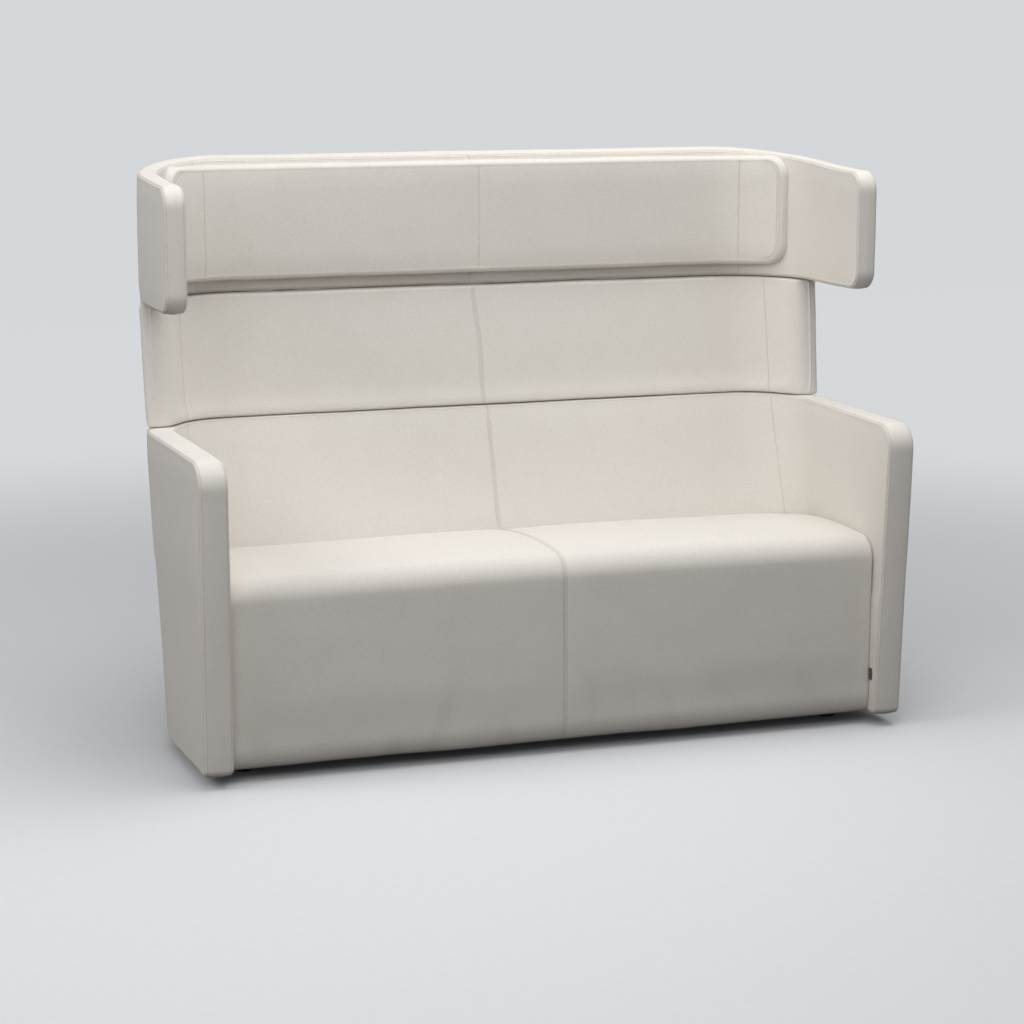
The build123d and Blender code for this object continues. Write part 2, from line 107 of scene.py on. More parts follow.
class SetteeSizes(bpy.types.PropertyGroup):
    """Upholstery details that the solids leave plain."""

    row_gap: length("Row gap", "Between the two rows of topstitching", 0.008)
    stitch_pitch: length("Stitch pitch", "From one stitch to the next", 0.0042)
    stitch_length: length("Stitch length", "Thread showing in one stitch", 0.0037)
    thread: length("Thread", "Thickness of the topstitching thread", 0.0013)
    fold: length("Fold", "Depth of the fold in a seam", 0.0012)
    dimple: length("Dimple", "How far a row of stitches draws the felt in", 0.0004)
    pull: length("Pull", "How far the padding is drawn in beside a seam", 0.0007)
    crown: length("Crown", "How far the padding swells between seams", 0.0024)
    seat_crown: length("Seat crown", "How far each half of the seat swells", 0.005)
    ripple: length("Ripple", "Slow unevenness of the padded surfaces", 0.0012)


class SetteeColours(bpy.types.PropertyGroup):
    """Colours of the felt, trim and hardware."""

    felt: shade("Felt", "Cream wool felt", (0.76, 0.725, 0.675, 1))
    felt_deep: shade("Felt, deep", "Between the fibres", (0.66, 0.62, 0.565, 1))
    # Painted shade in the seam folds and stitch rows, and painted shade with streaks of soil low
    # on the seat
    shade_and_grime: shade("Soil", "Faint marks low on the seat", (0.50, 0.45, 0.385, 1))
    thread: shade("Thread", "Topstitching thread", (0.87, 0.84, 0.795, 1))
    # Painted shade of the needle holes, at the ends of the stitches
    needle_hole_shade: shade("Needle holes", "Ends of the stitches", (0.27, 0.24, 0.205, 1))
    tape: shade("Tape", "Blank woven loop in the seat's side seam", (0.012, 0.012, 0.013, 1))
    plastic: shade("Glides", "Moulded glides", (0.02, 0.02, 0.021, 1))
    steel: shade("Uprights", "Painted steel bars", (0.045, 0.045, 0.048, 1))
    zinc: shade("Studs", "Plated studs", (0.62, 0.62, 0.64, 1))
    birch: shade("Plywood", "Moulded birch plywood", (0.62, 0.45, 0.27, 1))
    pine: shade("Timber", "Rails and corner blocks", (0.58, 0.38, 0.20, 1))
    webbing: shade("Webbing", "Elastic webbing", (0.035, 0.035, 0.04, 1))
    lining: shade("Lining", "Lining under the seat", (0.018, 0.018, 0.018, 1))
    floor: shade("Floor", "Studio floor round the settee", (0.70, 0.71, 0.73, 1))
    floor_bounce: shade("Floor bounce", "The floor as the felt sees it", (0.08, 0.078, 0.076, 1))
    backdrop: shade("Backdrop", "Studio paper further away", (0.66, 0.68, 0.70, 1))


def sizes():
    return bpy.context.scene.settee_sizes


def colours():
    return bpy.context.scene.settee_colours


# ---- finishes ------------------------------------------------------------------------
class Value:
    """A number that varies over a surface, so that sums on it can be written plainly."""

    def __init__(self, finish, socket):
        self.finish = finish
        self.socket = socket

    def maths(self, operation, *numbers):
        return self.finish.node("ShaderNodeMath", {"operation": operation}, list(numbers))

    def __add__(self, other):
        return self.maths("ADD", self, other)

    def __radd__(self, other):
        return self.maths("ADD", other, self)

    def __sub__(self, other):
        return self.maths("SUBTRACT", self, other)

    def __rsub__(self, other):
        return self.maths("SUBTRACT", other, self)

    def __mul__(self, other):
        return self.maths("MULTIPLY", self, other)

    def __rmul__(self, other):
        return self.maths("MULTIPLY", other, self)

    def above(self, low, high):
        """0 where this is under low, 1 over high, eased between."""
        settings = {"interpolation_type": "SMOOTHSTEP"}
        inputs = {"Value": self, "From Min": low, "From Max": high}
        return self.finish.node("ShaderNodeMapRange", settings, inputs)


class Finish:
    """A material and the nodes that make it."""

    def __init__(self, name, roughness, **fixed):
        self.material = bpy.data.materials.new(name)
        self.material.use_nodes = True
        self.tree = self.material.node_tree
        self.shader = self.tree.nodes["Principled BSDF"]
        self.shader.inputs["Roughness"].default_value = roughness
        for socket, value in fixed.items():
            self.shader.inputs[socket.replace("_", " ")].default_value = value
        self.place = self.node("ShaderNodeTexCoord", {}, {}, "Object")

    def node(self, kind, settings, inputs, output=0):
        made = self.tree.nodes.new(kind)
        for name, value in settings.items():
            setattr(made, name, value)
        pairs = inputs.items() if isinstance(inputs, dict) else enumerate(inputs)
        for socket, value in pairs:
            if isinstance(value, Value):
                self.tree.links.new(value.socket, made.inputs[socket])
            else:
                made.inputs[socket].default_value = value
        return Value(self, made.outputs[output])

    def noise(self, scale, detail=3.0, distortion=0.0, place=None, roughness=0.5):
        inputs = {
            "Vector": place or self.place,
            "Scale": scale,
            "Detail": detail,
            "Roughness": roughness,
            "Distortion": distortion,
        }
        return self.node("ShaderNodeTexNoise", {}, inputs, "Fac")

    def stretched(self, scale, turn=(0, 0, 0)):
        inputs = {"Vector": self.place, "Scale": scale, "Rotation": turn}
        return self.node("ShaderNodeMapping", {}, inputs)

    def ribs(self, direction, scale):
        settings = {"bands_direction": direction}
        return self.node("ShaderNodeTexWave", settings, {"Vector": self.place, "Scale": scale})

    def height(self):
        return self.node("ShaderNodeSeparateXYZ", {}, {"Vector": self.place}, "Z")

    def marked(self, name):
        """What the mesh's own attribute says."""
        return self.node("ShaderNodeAttribute", {"attribute_name": name}, {}, "Fac")

    def mixed(self, share, first, second):
        """A colour between two others."""
        inputs = {"Factor": share, 6: first, 7: second}
        return self.node("ShaderNodeMix", {"data_type": "RGBA"}, inputs, 2)

    def wear(self, socket, value):
        self.tree.links.new(value.socket, self.shader.inputs[socket])

    def raised(self, height, distance, strength):
        inputs = {"Height": height, "Distance": distance, "Strength": strength}
        self.wear("Normal", self.node("ShaderNodeBump", {}, inputs))


# Heights where the painted shade and soil streaks low on the seat start and reach full strength
LOW_SHADE_FROM, LOW_SHADE_FULL = 0.27, 0.06     # heights in metres, downwards


def felt_finish(name, low_shade_and_grime):
    """Matt cream felt with short matted fibres, painted shade in the seam folds and along the
    stitch rows, and, where asked, painted shade with streaks of soil low down.
    """
    tone = colours()
    felt = Finish(name, 0.93, Sheen_Weight=0.18, Sheen_Roughness=0.45, Specular_IOR_Level=0.18)
    matted = felt.noise(620.0, 5.0, 1.6, roughness=0.62)
    strands = felt.noise(1.0, 3.0, 0.8, felt.stretched((260, 950, 420), (0.5, 0.3, 0.8)))
    cross = felt.noise(1.0, 3.0, 0.8, felt.stretched((950, 300, 420), (0.2, 0.9, 0.1)))
    clouds = felt.noise(14.0, 4.0)
    laid = felt.noise(1.0, 3.0, 0.5, felt.stretched((150, 150, 430)), roughness=0.7)
    fibres = matted * 0.5 + strands * 0.25 + cross * 0.25
    deep = fibres.above(0.62, 0.36) * 0.3 + laid.above(0.62, 0.38) * 0.42
    deep += clouds.above(0.62, 0.30) * 0.10
    colour = felt.mixed(deep, tone.felt, tone.felt_deep)
    seam = felt.marked("seam_distance")
    # painted shade: the felt is darkened in the seam fold and along both rows of stitches
    fold = seam.above(0.0015, 0.0001)
    from_row = seam - sizes().row_gap / 2
    from_row = from_row.maths("ABSOLUTE", from_row)
    row = from_row.above(0.0014, 0.0005) * felt.marked("stitched")
    colour = felt.mixed(fold * 0.5 + row * 0.12, colour, tone.shade_and_grime)
    if low_shade_and_grime:
        # painted shade with streaks of soil, darker towards the bottom of the seat
        streaks = felt.noise(1.0, 5.0, 0.6, felt.stretched((9, 9, 3.2)))
        low_down = felt.height().above(LOW_SHADE_FROM, LOW_SHADE_FULL)
        colour = felt.mixed(low_down * streaks.above(0.52, 0.74) * 0.30, colour, tone.shade_and_grime)
    felt.wear("Base Color", colour)
    pucker = felt.noise(95.0, 2.0) * seam.above(0.020, 0.004)
    felt.raised(fibres * 0.45 + laid * 0.8 + pucker * 0.8 + clouds * 0.3, 0.0012, 0.6)
    return felt.material


def thread_finish():
    """Pale thread, with painted shade at each stitch's ends, where it goes down its needle holes.
    """
    thread = Finish("topstitch_thread", 0.7, Sheen_Weight=0.2)
    twist = thread.noise(1.0, 2.0, 0.0, thread.stretched((2400, 2400, 900)))
    painted_hole_shade = thread.marked("painted_hole_shade").above(0.15, 0.75)
    pale = thread.mixed(twist * 0.4, colours().thread, colours().felt_deep)
    thread.wear("Base Color", thread.mixed(painted_hole_shade, pale, colours().needle_hole_shade))
    thread.raised(twist, 0.0002, 0.5)
    return thread.material


def tape_finish():
    """Flat woven tape: fine ribs across and warp threads along."""
    tape = Finish("woven_tape", 0.62, Sheen_Weight=0.3)
    weave = tape.ribs("Z", 260.0) * 0.6 + tape.ribs("Y", 420.0) * 0.4
    lit = (0.05, 0.05, 0.052, 1)
    tape.wear("Base Color", tape.mixed(weave.above(0.4, 0.95), colours().tape, lit))
    tape.raised(weave, 0.0004, 0.8)
    return tape.material


def plastic_finish():
    glide = Finish("moulded_glide", 0.48)
    grain = glide.noise(900.0, 2.0)
    scuffs = glide.noise(60.0, 5.0, 2.0)
    worn = scuffs.above(0.55, 0.75) * glide.height().above(0.016, 0.002)
    glide.wear("Base Color", glide.mixed(worn * 0.5, colours().plastic, (0.16, 0.16, 0.16, 1)))
    glide.wear("Roughness", 0.42 + grain * 0.12 + worn * 0.2)
    glide.raised(grain, 0.0003, 0.35)
    return glide.material


def painted_steel_finish():
    steel = Finish("painted_steel", 0.4)
    peel = steel.noise(340.0, 2.0)
    chips = steel.noise(90.0, 6.0, 1.0).above(0.70, 0.76)
    steel.wear("Base Color", steel.mixed(chips, colours().steel, (0.30, 0.30, 0.31, 1)))
    steel.wear("Metallic", chips * 0.8)
    steel.wear("Roughness", 0.36 + peel * 0.14)
    steel.raised(peel, 0.0004, 0.25)
    return steel.material


def zinc_finish():
    zinc = Finish("plated_stud", 0.32, Metallic=1.0)
    bloom = zinc.noise(120.0, 4.0)
    zinc.wear("Base Color", zinc.mixed(bloom * 0.5, colours().zinc, (0.42, 0.42, 0.44, 1)))
    zinc.wear("Roughness", 0.24 + bloom * 0.2)
    return zinc.material


def wood_finish(name, colour, ringed, layers):
    """Wood grain running along its board, with glue lines where it is laminated."""
    wood = Finish(name, 0.55)
    grain = wood.noise(1.0, 6.0, 1.2, wood.stretched(ringed))
    pores = wood.noise(1.0, 4.0, 0.3, wood.stretched(tuple(9 * axis for axis in ringed)))
    dark = (colour[0] * 0.62, colour[1] * 0.55, colour[2] * 0.46, 1)
    tone = wood.mixed(grain.above(0.35, 0.7) * 0.6 + pores.above(0.6, 0.8) * 0.4, colour, dark)
    if layers:
        ply = wood.height() * layers
        ply = ply.maths("FRACT", ply)
        tone = wood.mixed(ply.above(0.42, 0.5) * 0.25, tone, dark)
    wood.wear("Base Color", tone)
    wood.wear("Roughness", 0.5 + pores * 0.2)
    wood.raised(grain * 0.6 + pores * 0.4, 0.0006, 0.4)
    return wood.material


def woven_finish(name, colour, scale, sheen):
    """Plain weave for webbing and lining."""
    cloth = Finish(name, 0.8, Sheen_Weight=sheen)
    fluff = cloth.noise(500.0, 4.0)
    weave = cloth.ribs("X", scale) * cloth.ribs("Y", scale)
    light = (colour[0] * 2.2, colour[1] * 2.2, colour[2] * 2.2, 1)
    cloth.wear("Base Color", cloth.mixed(weave * 0.5 + fluff * 0.3, colour, light))
    cloth.raised(weave + fluff * 0.4, 0.0005, 0.6)
    return cloth.material


# ---- the shapes of the upholstered panels, in millimetres ----------------------------
OUTER, INNER, BAND = 0, 1, 2  # the faces, and the band between their border seams
BAND_SWELL = 1.4
CROWN_FROM, CROWN_REACH = 12, 26      # where the padding starts to swell, and how slowly
END_REACH = 110               # how far from its end a panel is thinned
FOLD_WIDTH, DIMPLE_WIDTH, PULL_REACH = 0.8, 0.9, 9
SHIFT_REACH = 70              # how far the middle seam's wandering takes the felt along
NO_SEAM = 99.0
SEAM_REACH = 60.0             # seam distances are kept up to here


class Plan:
    """Right half of a panel's outline at one level, seen from above."""

    def __init__(self, half_width, taper, back, corner):
        self.half_width = half_width
        self.taper = taper
        self.back = back
        self.corner = corner

    def blend(self, other, share):
        pairs = zip(vars(self).values(), vars(other).values())
        return Plan(*(mine + (its - mine) * share for mine, its in pairs))

    def inset(self, gap):
        return Plan(self.half_width - gap, self.taper, self.back - gap, self.corner - gap)

    def start(self, front, turn):
        """Straight run from the panel's front end, and where round the corner it ends."""
        if turn > 0:
            return 0.0, turn
        beyond = front - (self.back - self.corner)
        if beyond > 0:
            return 0.0, asin(min(beyond / self.corner, 1.0))
        return -beyond, 0.0

    def marks(self, front, turn, seam_turn, edge_zone):
        """Distances along the outline of the places that a panel's stations count from."""
        straight, joined = self.start(front, turn)
        seam = straight + (seam_turn - joined) * self.corner
        back = straight + (pi / 2 - joined) * self.corner
        side = straight if straight > 0 else (edge_zone + seam) / 2
        return [0.0, edge_zone, side, seam, back, back + self.half_width - self.corner]

    def point(self, front, turn, along):
        """Across and deep, this far along the outline from the front end."""
        straight, joined = self.start(front, turn)
        depth = self.back - self.corner
        if joined == 0 and along < straight:
            out = self.taper * (straight - along) / (depth - ARM_FRONT)
            return Vector((self.half_width - out, depth - straight + along))
        angle = joined + (along - straight) / self.corner
        if angle < pi / 2:
            width = self.half_width - self.corner + self.corner * cos(angle)
            return Vector((width, depth + self.corner * sin(angle)))
        over = (angle - pi / 2) * self.corner
        return Vector((self.half_width - self.corner - over, self.back))


class Panel:
    """A padded panel that wraps round the back, between an outer and an inner outline.

    A place on it is a station along it (0 at the front end, 5 in the middle), a share
    of its height, an inset from its border and a row across its border."""

    turn = 0.0                # how far round the corner the panel starts, if not at a depth
    head_corner = 1.0         # rounding of the ends, seen from the side
    foot_corner = 1.0
    edges = (7.0, 7.0)        # rounding of outer and inner border
    end_round = (0.0, 0.0)    # rounding of the whole end, seen from above
    end_thinning = 0.0        # how much thinner the panel is at its end
    near_band = 14.0          # how far over the band the rows count from a seam
    seam_turn = radians(45)   # where round the corner the side seam runs
    seam_bend = radians(45)   # where on the edge's rounding the border seam runs
    border_seams = (True, True)
    stitched_middle = True    # the corner seams are plain
    swell = 1.0
    zone = 60.0               # width of the border's own mesh

    def share(self, level):
        return (level - self.foot) / (self.top - self.foot)

    def front(self, level):
        return 0.0

    def head(self, depth):
        return self.top

    def middle_shift(self, level):
        """How far the middle seam leaves the middle."""
        return 0.0

    def fullness(self, level):
        return 1.0

    def sewn(self, column, face):
        """1 where a border seam runs along this column, 0 where the cover just folds over."""
        return 1.0

    def edge(self, column, face):
        return self.edges[face]

    def address(self, column, inset):
        """Station, height share and height inset of a place this far from the border."""
        kind, value = column
        if kind == "head":
            return value, 1.0, inset
        if kind == "foot":
            return value, 0.0, inset
        if kind == "front":
            return inset / self.zone, value, self.zone
        corner = self.head_corner if kind == "head_corner" else self.foot_corner
        middle = max(corner, inset)
        radius = max(corner - inset, 0.0)
        station = (middle - radius * sin(value)) / self.zone
        return station, float(kind == "head_corner"), middle - radius * cos(value)

    def level(self, depth, share, inset):
        head = self.head(depth)
        return self.foot + inset + share * (head - self.foot - 2 * inset)

    def marks(self, plan, level):
        return plan.marks(self.front(level), self.turn, self.seam_turn, self.zone)

    def along(self, plan, level, station):
        marks = self.marks(plan, level)
        step = min(max(int(station), 0), 4)
        return marks[step] + (marks[step + 1] - marks[step]) * (station - step), marks

    def past(self, face, bend):
        """How far past a face's border seam its rounding has turned this far."""
        return (bend - self.seam_bend) * self.edges[face]

    def place(self, column, row):
        """The spot for a column round the border and a row across it.

        A row is a face with how far past its border seam the row lies, or BAND with a
        share of the way over the band's middle."""
        face, past = row
        radii = [self.edge(column, each) for each in (OUTER, INNER)]
        if face == BAND:
            first, last = self.border_seams
            near = radii[0] + self.near_band * first, radii[1] + self.near_band * last
            swell = max(first * (1 - past) + last * past, sin(pi * past)) * BAND_SWELL
            address = self.address(column, -swell * self.swell)
            return self.spot(*address, face, (near, past), 0.0, NO_SEAM)
        radius, nominal = radii[face], self.edges[face]
        sewn = self.sewn(column, face)
        border = past if self.border_seams[face] else NO_SEAM
        dip = seam_dip(border, True) * sewn
        bend = self.seam_bend + past / nominal
        if bend < 0:
            inset = radius - bend * nominal * (self.zone - radius) / (self.zone - nominal)
            sink = dip
        elif bend <= pi / 2:
            inset = radius - (radius - dip) * sin(bend)
            sink = radius - (radius - dip) * cos(bend)
        else:
            over = (bend - pi / 2) * nominal
            inset = dip - BAND_SWELL * self.swell * smooth(over, 0, self.near_band)
            sink = radius + over
        address = self.address(column, inset)
        place, seam, stitched, shift = self.spot(*address, face, sink, inset, border)
        if seam == abs(border):
            seam += SEAM_REACH * (1 - sewn)
        return place, seam, stitched, shift

    def on_face(self, station, share, face):
        """The spot on the open part of a face."""
        border = self.past(face, 0.0) + self.edges[face] - self.zone
        border = border if self.border_seams[face] else NO_SEAM
        dip = seam_dip(border, True)
        return self.spot(station, share, self.zone, face, dip, self.zone, border)

    def spot(self, station, share, height_inset, face, sink, inset, border):
        """Where it lies, its distance from the nearest seam, whether that is stitched, and
        how far the middle seam's wandering takes it sideways."""
        level = self.level(self.deepest, share, height_inset)
        ends = []
        for plan in (self.outer(level), self.inner(level)):
            run, marks = self.along(plan, level, station)
            ends.append(plan.point(self.front(level), self.turn, run))
        across = (ends[1] - ends[0]).normalized()
        ends[1] -= across * self.end_thinning * (1 - smooth(run, 0, END_REACH))
        for each, radius in enumerate(self.end_round):
            left = max(radius - max(run, 0.0), 0.0)
            rounded = radius - (radius**2 - left**2) ** 0.5
            ends[each] += across * rounded * (1 - 2 * each)
        seam, stitched = abs(border), True
        if face == BAND:
            (first, last), gone = sink
            thickness = (ends[1] - ends[0]).length
            point = ends[0] + across * (first + gone * (thickness - first - last))
        else:
            full = 1 - exp(-max(inset - CROWN_FROM, 0) / CROWN_REACH)
            raised = sizes().crown / MM * full * self.fullness(level) * self.swell
            middle, corner = abs(marks[5] - run), abs(run - marks[3])
            seamed = self.border_seams[face]
            open_side = smooth(-border, -2, 2) if seamed else smooth(inset, 0, 5)
            if face == INNER and open_side > 0:
                upright = min(middle, corner)
                sewn = self.stitched_middle and middle < corner
                raised -= seam_dip(upright, sewn) * open_side
                if upright < seam:
                    seam, stitched = upright, sewn
            start, inward = (ends[0], across) if face == OUTER else (ends[1], -across)
            point = start + inward * (sink - raised)
        height = self.level(point.y, share, height_inset)
        shift = self.middle_shift(height) * fading(point.x)
        return Vector((point.x, point.y, height)), seam, stitched, shift


def seam_dip(distance, stitched):
    """How far the felt is drawn in at this distance from a seam."""
    size = sizes()
    away = abs(distance)
    dip = size.fold / MM * exp(-((away / FOLD_WIDTH) ** 2))
    dip += size.pull / MM * exp(-away / PULL_REACH)
    if stitched:
        from_row = away - size.row_gap / MM / 2
        dip += size.dimple / MM * exp(-((from_row / DIMPLE_WIDTH) ** 2))
    return dip


def fading(across):
    """How much of the middle seam's wandering is left this far from the middle."""
    return exp(-((across / SHIFT_REACH) ** 2))


def curve(depth, heights):
    """An even curve through the heights given at three depths."""
    total = 0.0
    for here, height in heights:
        for other, _ in heights:
            if other != here:
                height *= (depth - other) / (here - other)
        total += height
    return total


class Shell(Panel):
    """Arms and back in one: the arms' fronts lean forward as they rise."""

    foot = BASE
    top = 697.0
    deepest = 603.0
    head_corner = 57.0
    foot_corner = 17.0
    seam_turn = radians(46.5)
    front_foot = -30.0
    folded_edge = 3.0

    def outer(self, level):
        return Plan(812, 7, 455, 165).blend(Plan(822, 10, 603, 205), self.share(level))

    def inner(self, level):
        """Padded above the seat, and clear of the seat's frame below."""
        padded = Plan(745, 2, 309, 73).blend(Plan(757, 8, 538, 145), self.share(level))
        clear = Plan(745, 2, SEAT_FRAME_REAR + 2, 60)
        return clear.blend(padded, smooth(level, SEAT_FRAME_TOP, SEAT_FRAME_TOP + 14))

    def front(self, level):
        return self.front_foot + (ARM_FRONT - self.front_foot) * self.share(level)

    def middle_shift(self, level):
        return 4.0 + 2.5 * smooth(level, SEAT_RISE, self.top - 7)

    def fullness(self, level):
        """The padding swells above the seat only."""
        return smooth(level, SEAT_RISE - 35, SEAT_RISE + 20)

    def sewn(self, column, face):
        """Under the neck the back's cover folds over its inner edge without a seam."""
        under_neck = column[0] == "head" and face == INNER
        return 1 - smooth(column[1], 2.2, 3.0) if under_neck else 1.0

    def edge(self, column, face):
        sewn, folded = self.edges[face], self.folded_edge
        return sewn - (sewn - folded) * (1 - self.sewn(column, face))


class Neck(Panel):
    """The upright panel between shell and wing, its free ends rounded over."""

    foot = 700.0
    top = 972.0
    deepest = 655.0
    edges = (6.0, 6.0)
    end_round = (15.0, 33.0)
    head_corner = 8.0
    foot_corner = 8.0
    seam_turn = radians(46)
    border_seams = (False, False)
    zone = 40.0
    thickness = 61.0

    def outer(self, level):
        return Plan(820, 0, 608, 205).blend(Plan(820, 0, 655, 205), self.share(level))

    def inner(self, level):
        """Plump just above the shell's edge, and a little under the wing."""
        plump = 7 * exp(-(((level - self.foot - 10) / 22) ** 2))
        plump += 3 * exp(-(((level - self.top) / 25) ** 2))
        return self.outer(level).inset(self.thickness + plump)

    def front(self, level):
        return 442 + 30 * self.share(level)

    def middle_shift(self, level):
        return -12.0 * smooth(level, 820, 990)


class Wing(Panel):
    """The wrap-round head panel, its upper edge falling towards the front."""

    foot = 975.0
    top = 1283.0
    deepest = 666.0
    head_corner = 44.0
    foot_corner = 44.0
    seam_turn = radians(64.4)
    stitched_middle = False
    zone = 48.0
    crest = ((175.0, 268.0), (520.0, 288.0), (666.0, 308.0))    # depth, and height of the wing

    def outer(self, level):
        return Plan(822, 0, 666, 242)

    def inner(self, level):
        return Plan(774, 0, 613, 189)

    def front(self, level):
        return 175.0

    def head(self, depth):
        return self.foot + curve(depth, self.crest)

    def middle_shift(self, level):
        return -11.0


class Pad(Panel):
    """The headrest pad on the wing's inner face."""

    foot = 1007.0
    top = 1261.0
    deepest = 613.0
    turn = radians(27)
    head_corner = 46.0
    foot_corner = 46.0
    edges = (1.0, 10.0)
    end_thinning = 15.0
    near_band = 6.0
    seam_turn = radians(64.5)
    seam_bend = 0.0
    border_seams = (False, True)
    stitched_middle = False
    swell = 1.5
    zone = 50.0

    def sewn(self, column, face):
        """Only the ends are sewn: above and below the cover folds over."""
        return smooth(column[1], 1.6, 1.0) if column[0] in ("head", "foot") else 1.0

    def outer(self, level):
        return Plan(774, 0, 613, 189)

    def inner(self, level):
        return Plan(737, 0, 576, 152)


# ---- mesh for a panel ----------------------------------------------------------------
NEAR_SEAM = (0.0, 0.7, 1.5, 2.4, 3.4, 4.5, 5.6, 7.0, 10.0, 15.0, 22.0, 32.0, 46.0)
NEAR_FOLD = (8.0, 11.0, 15.0, 20.0, 26.0, 32.0)
CLOSEST = 0.45                # millimetres between two rows of the mesh
PANEL_PITCH, PATH_PITCH = 14.0, 20.0
MERGE = 0.00002
SEAMS_BETWEEN = {4: (False, True), 3: (True, False), 2: (False, True), 1: (False, False)}


def spaced(run, pitch, seam_low, seam_high):
    """Shares of a run between two marks, closer together beside the seams."""
    shares = {0.0, 1.0}
    steps = max(int(run / pitch), 1)
    low, high = 0.0, 1.0
    if seam_low:
        low = max(NEAR_SEAM) / run
        shares.update(near / run for near in NEAR_SEAM)
    if seam_high:
        high = 1 - max(NEAR_SEAM) / run
        shares.update(1 - near / run for near in NEAR_SEAM)
    for step in range(steps + 1):
        share = step / steps
        if low + 0.4 * pitch / run < share < high - 0.4 * pitch / run:
            shares.add(share)
    return [share for share in sorted(shares) if 0 <= share <= 1]


def stations(panel, pitch):
    """From the middle to where the front end's own mesh starts."""
    level = panel.level(panel.deepest, 0.6, 0)
    marks = panel.marks(panel.inner(level), level)
    found = []
    for step, seams in SEAMS_BETWEEN.items():
        run = marks[step + 1] - marks[step]
        if run > 0.5:
            found += [step + share for share in spaced(run, pitch, *seams)]
    return sorted({round(station, 6) for station in found}, reverse=True)


def border_columns(panel, along):
    turns = [pi / 2 * step / 9 for step in range(10)]
    heights = [1 - step / 24 for step in range(25)]
    columns = [("head", station) for station in along]
    columns += [("head_corner", turn) for turn in turns]
    columns += [("front", share) for share in heights]
    columns += [("foot_corner", turn) for turn in reversed(turns)]
    columns += [("foot", station) for station in reversed(along)]
    return columns, heights


def border_rows(panel):
    """Rows from the outer face over the band to the inner face, closer beside the seams."""
    halves = []
    for face in (OUTER, INNER):
        seamed = panel.border_seams[face]
        last = panel.past(face, 0.0) + panel.edges[face] - panel.zone
        band = panel.past(face, pi / 2) + (panel.near_band if seamed else 0.0)
        places = {last, band}
        places.update(panel.past(face, pi / 2 * step / 6) for step in range(7))
        for each in NEAR_SEAM if seamed else NEAR_FOLD:
            places.update(place for place in (-each, each) if last + 1 < place < band - 0.4)
        rows = [last]
        for place in sorted(places):
            if place - rows[-1] > CLOSEST:
                rows.append(place)
        rows[-1] = band
        halves.append([(face, place) for place in rows])
    middle = [(BAND, step / 6) for step in range(1, 6)]
    return halves[0] + middle + halves[1][::-1]


def lay_patch(mesh, columns, rows, fit):
    """A grid whose vertices are each fitted to their column and row."""
    wide, high = len(columns) - 1, len(rows) - 1
    grid = bmesh.ops.create_grid(mesh, x_segments=wide, y_segments=high, size=1)
    for vertex in grid["verts"]:
        column = round((vertex.co.x + 1) / 2 * wide)
        row = round((vertex.co.y + 1) / 2 * high)
        fit(vertex, columns[column], rows[row])


def new_marks(mesh):
    names = ("seam_distance", "stitched", "shift")
    return [mesh.verts.layers.float.new(name) for name in names]


def set_point(vertex, spot, marks):
    place, seam, stitched, shift = spot
    vertex.co = in_frame(*place)
    seam_distance, stitched_mark, shift_mark = marks
    vertex[seam_distance] = min(seam, SEAM_REACH) * MM
    vertex[stitched_mark] = float(stitched)
    vertex[shift_mark] = shift * MM


def ripple(mesh, amount, seed):
    """Slow unevenness, the same on every run."""
    mesh.normal_update()
    moved = []
    for vertex in mesh.verts:
        slow = noise.noise(vertex.co * 5.5 + Vector((seed, 0, 0)))
        fine = noise.noise(vertex.co * 16 + Vector((0, seed, 0)))
        moved.append(vertex.co + vertex.normal * amount * (slow + 0.35 * fine))
    for vertex, place in zip(mesh.verts, moved):
        vertex.co = place


def mirrored(mesh):
    """Close the right half's mesh and add the left half."""
    bmesh.ops.remove_doubles(mesh, verts=mesh.verts, dist=MERGE)
    bmesh.ops.dissolve_degenerate(mesh, dist=MERGE / 4, edges=mesh.edges)
    bmesh.ops.recalc_face_normals(mesh, faces=mesh.faces)
    whole = mesh.verts[:] + mesh.edges[:] + mesh.faces[:]
    bmesh.ops.mirror(mesh, geom=whole, matrix=Matrix.Identity(4), merge_dist=MERGE, axis="X")


def loosened(mesh, marks, amount, seed):
    """Let the middle seam wander and the padding be uneven."""
    bmesh.ops.recalc_face_normals(mesh, faces=mesh.faces)
    for vertex in mesh.verts:
        vertex.co.x += vertex[marks[-1]]
    ripple(mesh, amount, seed)


def finished(name, mesh, material, replaced):
    """Turn a bmesh into a piece that rides with the settee."""
    data = bpy.data.meshes.new(name)
    mesh.to_mesh(data)
    mesh.free()
    data.shade_smooth()
    data.materials.append(material)
    piece = bpy.data.objects.new(name, data)
    bpy.context.scene.collection.objects.link(piece)
    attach(piece, "root")
    if replaced:
        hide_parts(*replaced)
    return piece


def nodes_named(*starts):
    """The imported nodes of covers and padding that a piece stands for."""
    return [name for name in sorted(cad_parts) if name.startswith(starts)]


def panel_mesh(panel, seed):
    mesh = bmesh.new()
    marks = new_marks(mesh)
    along = stations(panel, PANEL_PITCH)
    columns, heights = border_columns(panel, along)

    def fit_border(vertex, column, row):
        set_point(vertex, panel.place(column, row), marks)

    def fit_outer(vertex, station, share):
        set_point(vertex, panel.on_face(station, share, OUTER), marks)

    def fit_inner(vertex, station, share):
        set_point(vertex, panel.on_face(station, share, INNER), marks)

    lay_patch(mesh, columns, border_rows(panel), fit_border)
    lay_patch(mesh, along, heights, fit_outer)
    lay_patch(mesh, along, heights, fit_inner)
    mirrored(mesh)
    loosened(mesh, marks, sizes().ripple, seed)
    return mesh


